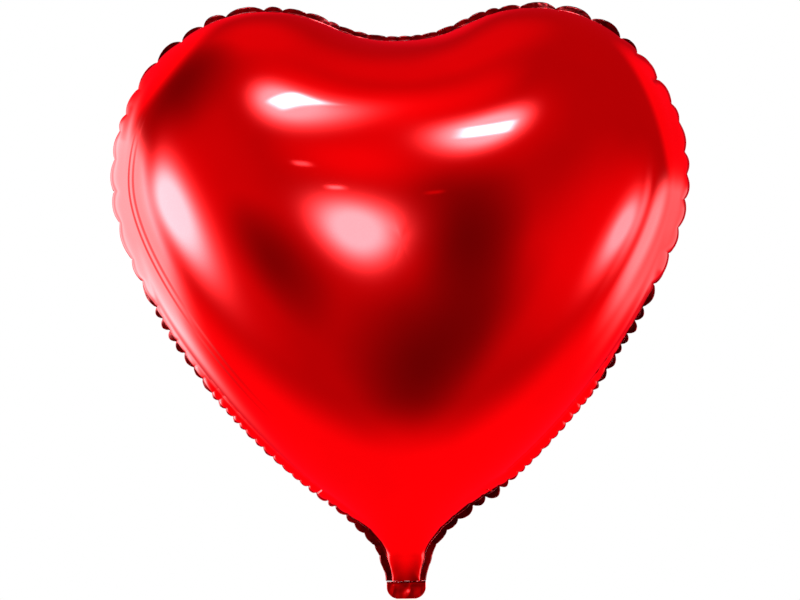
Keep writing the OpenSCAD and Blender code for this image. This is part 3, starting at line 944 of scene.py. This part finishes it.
def soft_patch_group():
    """A node group that mixes one soft, rounded patch of light or dark into a level."""
    group = bpy.data.node_groups.new("studio_patch", "ShaderNodeTree")
    face = group.interface
    for name in ("Direction", "Forward", "Away", "Round"):
        face.new_socket(name, in_out="INPUT", socket_type="NodeSocketVector")
    for name in ("Half away", "Half round", "Full", "Squareness", "Level", "Base"):
        face.new_socket(name, in_out="INPUT", socket_type="NodeSocketFloat")
    face.new_socket("Result", in_out="OUTPUT", socket_type="NodeSocketFloat")
    link = group.links.new
    source = add_node(group, "NodeGroupInput")
    sink = add_node(group, "NodeGroupOutput")

    def along(axis):
        node = add_node(group, "ShaderNodeVectorMath", operation="DOT_PRODUCT")
        link(source.outputs["Direction"], node.inputs[0])
        link(source.outputs[axis], node.inputs[1])
        return node.outputs["Value"]

    def maths(operation, a, b=None):
        node = add_node(group, "ShaderNodeMath", operation=operation)
        link(a, node.inputs[0])
        if b is not None:
            link(b, node.inputs[1])
        return node.outputs[0]

    forward = along("Forward")
    square = source.outputs["Squareness"]
    parts = []
    for axis, half in (("Away", "Half away"), ("Round", "Half round")):
        off = maths("ABSOLUTE", maths("ARCTAN2", along(axis), forward))
        parts.append(maths("POWER", maths("DIVIDE", off, source.outputs[half]), square))
    root = add_node(group, "ShaderNodeMath", operation="DIVIDE")
    root.inputs[0].default_value = 1
    link(square, root.inputs[1])
    edge = add_node(group, "ShaderNodeMapRange", interpolation_type="SMOOTHSTEP")
    link(maths("POWER", maths("ADD", *parts), root.outputs[0]), edge.inputs["Value"])
    link(source.outputs["Full"], edge.inputs["From Min"])
    edge.inputs["From Max"].default_value = 1
    edge.inputs["To Min"].default_value = 1
    edge.inputs["To Max"].default_value = 0
    ratio = maths("DIVIDE", source.outputs["Level"], source.outputs["Base"])
    gain = maths("POWER", ratio, edge.outputs["Result"])
    link(maths("MULTIPLY", source.outputs["Base"], gain), sink.inputs["Result"])
    return group


class FOIL_OT_stage(bpy.types.Operator):
    """Set up the camera, the floor, the lamp and the studio that the foil mirrors"""

    bl_idname = "foil.stage"
    bl_label = "Stage"

    SENSOR = 36.0
    # Levels of the bare red room, of the dark between the lamps, and of the light on rough pieces
    PLAIN = 0.52
    UNLIT = 0.004
    AROUND = 0.85
    ROOM_RED = (1.0, 0.004, 0.025, 1)
    LAMP_PINK = (1, 0.97, 1.03, 1)
    WHITE = (1, 1, 1, 1)
    FLOOR_HALF = 1.5
    FLOOR_FRONT = 0.36
    FLOOR_ROUGH = 0.9
    LAMP_POWER = 9
    LAMP_SIZE = (0.9, 0.6)
    LAMP_PLACE = (-0.25, -0.35, 1.7)
    LAMP_TURN = (-0.14, -0.12, 0)

    def execute(self, context):
        _, _, stage = settings()
        scene = context.scene
        scene.view_settings.view_transform = "Standard"
        self.camera(scene, stage)
        self.world(scene)
        self.floor(stage)
        self.lamp(scene)
        return {"FINISHED"}

    def camera(self, scene, stage):
        """The camera, straight in front of the heart."""
        lens = bpy.data.cameras.new("camera")
        lens.sensor_width = self.SENSOR
        lens.lens = self.SENSOR * stage.camera_distance / stage.frame_width
        made = bpy.data.objects.new("camera", lens)
        made.location = (stage.view_x, -stage.camera_distance, stage.view_z)
        made.rotation_euler = (math.pi / 2, stage.view_roll, 0)
        scene.collection.objects.link(made)
        scene.camera = made

    def world(self, scene):
        """The mirrored studio for the foil, plain light for the rest and white behind it all."""
        world = bpy.data.worlds.new("studio")
        world.use_nodes = True
        scene.world = world
        tree = world.node_tree
        tree.nodes.clear()
        link = tree.links.new
        mirrored = add_node(tree, "ShaderNodeAddShader")
        for k, (base, patches, colour) in enumerate(
            ((self.PLAIN, ROOM_TONES, self.ROOM_RED), (self.UNLIT, LAMPS, self.LAMP_PINK))
        ):
            part = add_node(tree, "ShaderNodeBackground")
            part.inputs["Color"].default_value = colour
            link(self.level(tree, base, patches), part.inputs["Strength"])
            link(part.outputs[0], mirrored.inputs[k])
        plain = add_node(tree, "ShaderNodeBackground", Strength=self.AROUND)
        white = add_node(tree, "ShaderNodeBackground", Strength=1.0)
        for node in (plain, white):
            node.inputs["Color"].default_value = self.WHITE
        ray = add_node(tree, "ShaderNodeLightPath")
        inner = add_node(tree, "ShaderNodeMixShader")
        link(ray.outputs["Is Glossy Ray"], inner.inputs["Fac"])
        link(plain.outputs[0], inner.inputs[1])
        link(mirrored.outputs[0], inner.inputs[2])
        seen = add_node(tree, "ShaderNodeMath", operation="MAXIMUM")
        link(ray.outputs["Is Camera Ray"], seen.inputs[0])
        link(ray.outputs["Is Transmission Ray"], seen.inputs[1])
        outer = add_node(tree, "ShaderNodeMixShader")
        link(seen.outputs[0], outer.inputs["Fac"])
        link(inner.outputs[0], outer.inputs[1])
        link(white.outputs[0], outer.inputs[2])
        out = add_node(tree, "ShaderNodeOutputWorld")
        link(outer.outputs[0], out.inputs["Surface"])

    @staticmethod
    def level(tree, base, patches):
        """A plain level over all directions with soft patches laid over it."""
        place = add_node(tree, "ShaderNodeTexCoord")
        group = bpy.data.node_groups.get("studio_patch") or soft_patch_group()
        level = None
        for angle, bearing, away, round_it, turn, fade, square, strength in patches:
            forward = studio_direction(angle, bearing)
            farther = studio_direction(angle + 1, bearing)
            outward = farther - forward * (farther @ forward)
            outward /= np.linalg.norm(outward)
            sideways = np.cross(outward, forward)
            c, t = math.cos(math.radians(turn)), math.sin(math.radians(turn))
            patch = add_node(tree, "ShaderNodeGroup", node_tree=group)
            patch.inputs["Forward"].default_value = forward
            patch.inputs["Away"].default_value = c * outward - t * sideways
            patch.inputs["Round"].default_value = c * sideways + t * outward
            patch.inputs["Half away"].default_value = math.radians(away)
            patch.inputs["Half round"].default_value = math.radians(round_it)
            patch.inputs["Full"].default_value = 1 - fade
            patch.inputs["Squareness"].default_value = square
            patch.inputs["Level"].default_value = strength
            tree.links.new(place.outputs["Generated"], patch.inputs["Direction"])
            if level is None:
                patch.inputs["Base"].default_value = base
            else:
                tree.links.new(level, patch.inputs["Base"])
            level = patch.outputs["Result"]
        return level

    def floor(self, stage):
        """The pale floor, which the foil doesn't mirror."""
        low = CAD_LOW.z - stage.floor_drop
        half, front = self.FLOOR_HALF, -self.FLOOR_FRONT
        points = [(-half, front, low), (half, front, low), (half, half, low), (-half, half, low)]
        made_of = bpy.data.materials.new("pale_floor")
        made_of.use_nodes = True
        shader = made_of.node_tree.nodes["Principled BSDF"]
        shader.inputs["Base Color"].default_value = (*stage.floor_colour, 1)
        shader.inputs["Roughness"].default_value = self.FLOOR_ROUGH
        shader.inputs["Specular IOR Level"].default_value = 0.0
        made = new_object("floor", points, [(0, 1, 2, 3)], made_of, smooth_faces=False)
        made.visible_glossy = False

    def lamp(self, scene):
        """The soft lamp overhead, which casts the shadow on the floor."""
        lamp = bpy.data.lights.new("top_light", "AREA")
        lamp.energy = self.LAMP_POWER
        lamp.shape = "RECTANGLE"
        lamp.size, lamp.size_y = self.LAMP_SIZE
        made = bpy.data.objects.new("top_light", lamp)
        made.location = self.LAMP_PLACE
        made.rotation_euler = self.LAMP_TURN
        made.visible_camera = False
        made.visible_glossy = False
        scene.collection.objects.link(made)


class FOIL_PT_panel(bpy.types.Panel):
    """The foil heart's pieces and settings"""

    bl_idname = "FOIL_PT_panel"
    bl_label = "Foil heart"
    bl_space_type = "VIEW_3D"
    bl_region_type = "UI"
    bl_category = "Foil heart"

    def draw(self, context):
        for step in STEPS:
            self.layout.operator(step.bl_idname)
        for group in settings():
            for name in group.__annotations__:
                self.layout.prop(group, name)


STEPS = (
    FOIL_OT_stage,
    FOIL_OT_films,
    FOIL_OT_rim_band,
    FOIL_OT_base_weld,
    FOIL_OT_flat_end,
    FOIL_OT_valve,
)
GROUPS = {
    "foil_shape": FoilShapeSettings,
    "foil_finish": FoilFinishSettings,
    "foil_stage": FoilStageSettings,
}


def register():
    """Makes the settings, the steps and the panel known to Blender."""
    for made in (*GROUPS.values(), *STEPS, FOIL_PT_panel):
        bpy.utils.register_class(made)
    for name, group in GROUPS.items():
        setattr(bpy.types.Scene, name, bpy.props.PointerProperty(type=group))


def unregister():
    """Takes them out again."""
    for name in GROUPS:
        delattr(bpy.types.Scene, name)
    for made in (FOIL_PT_panel, *reversed(STEPS), *GROUPS.values()):
        bpy.utils.unregister_class(made)


def main():
    """Registers the add-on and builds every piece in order."""
    register()
    for step in STEPS:
        group, name = step.bl_idname.split(".")
        getattr(getattr(bpy.ops, group), name)()


if __name__ == "__main__":
    main()
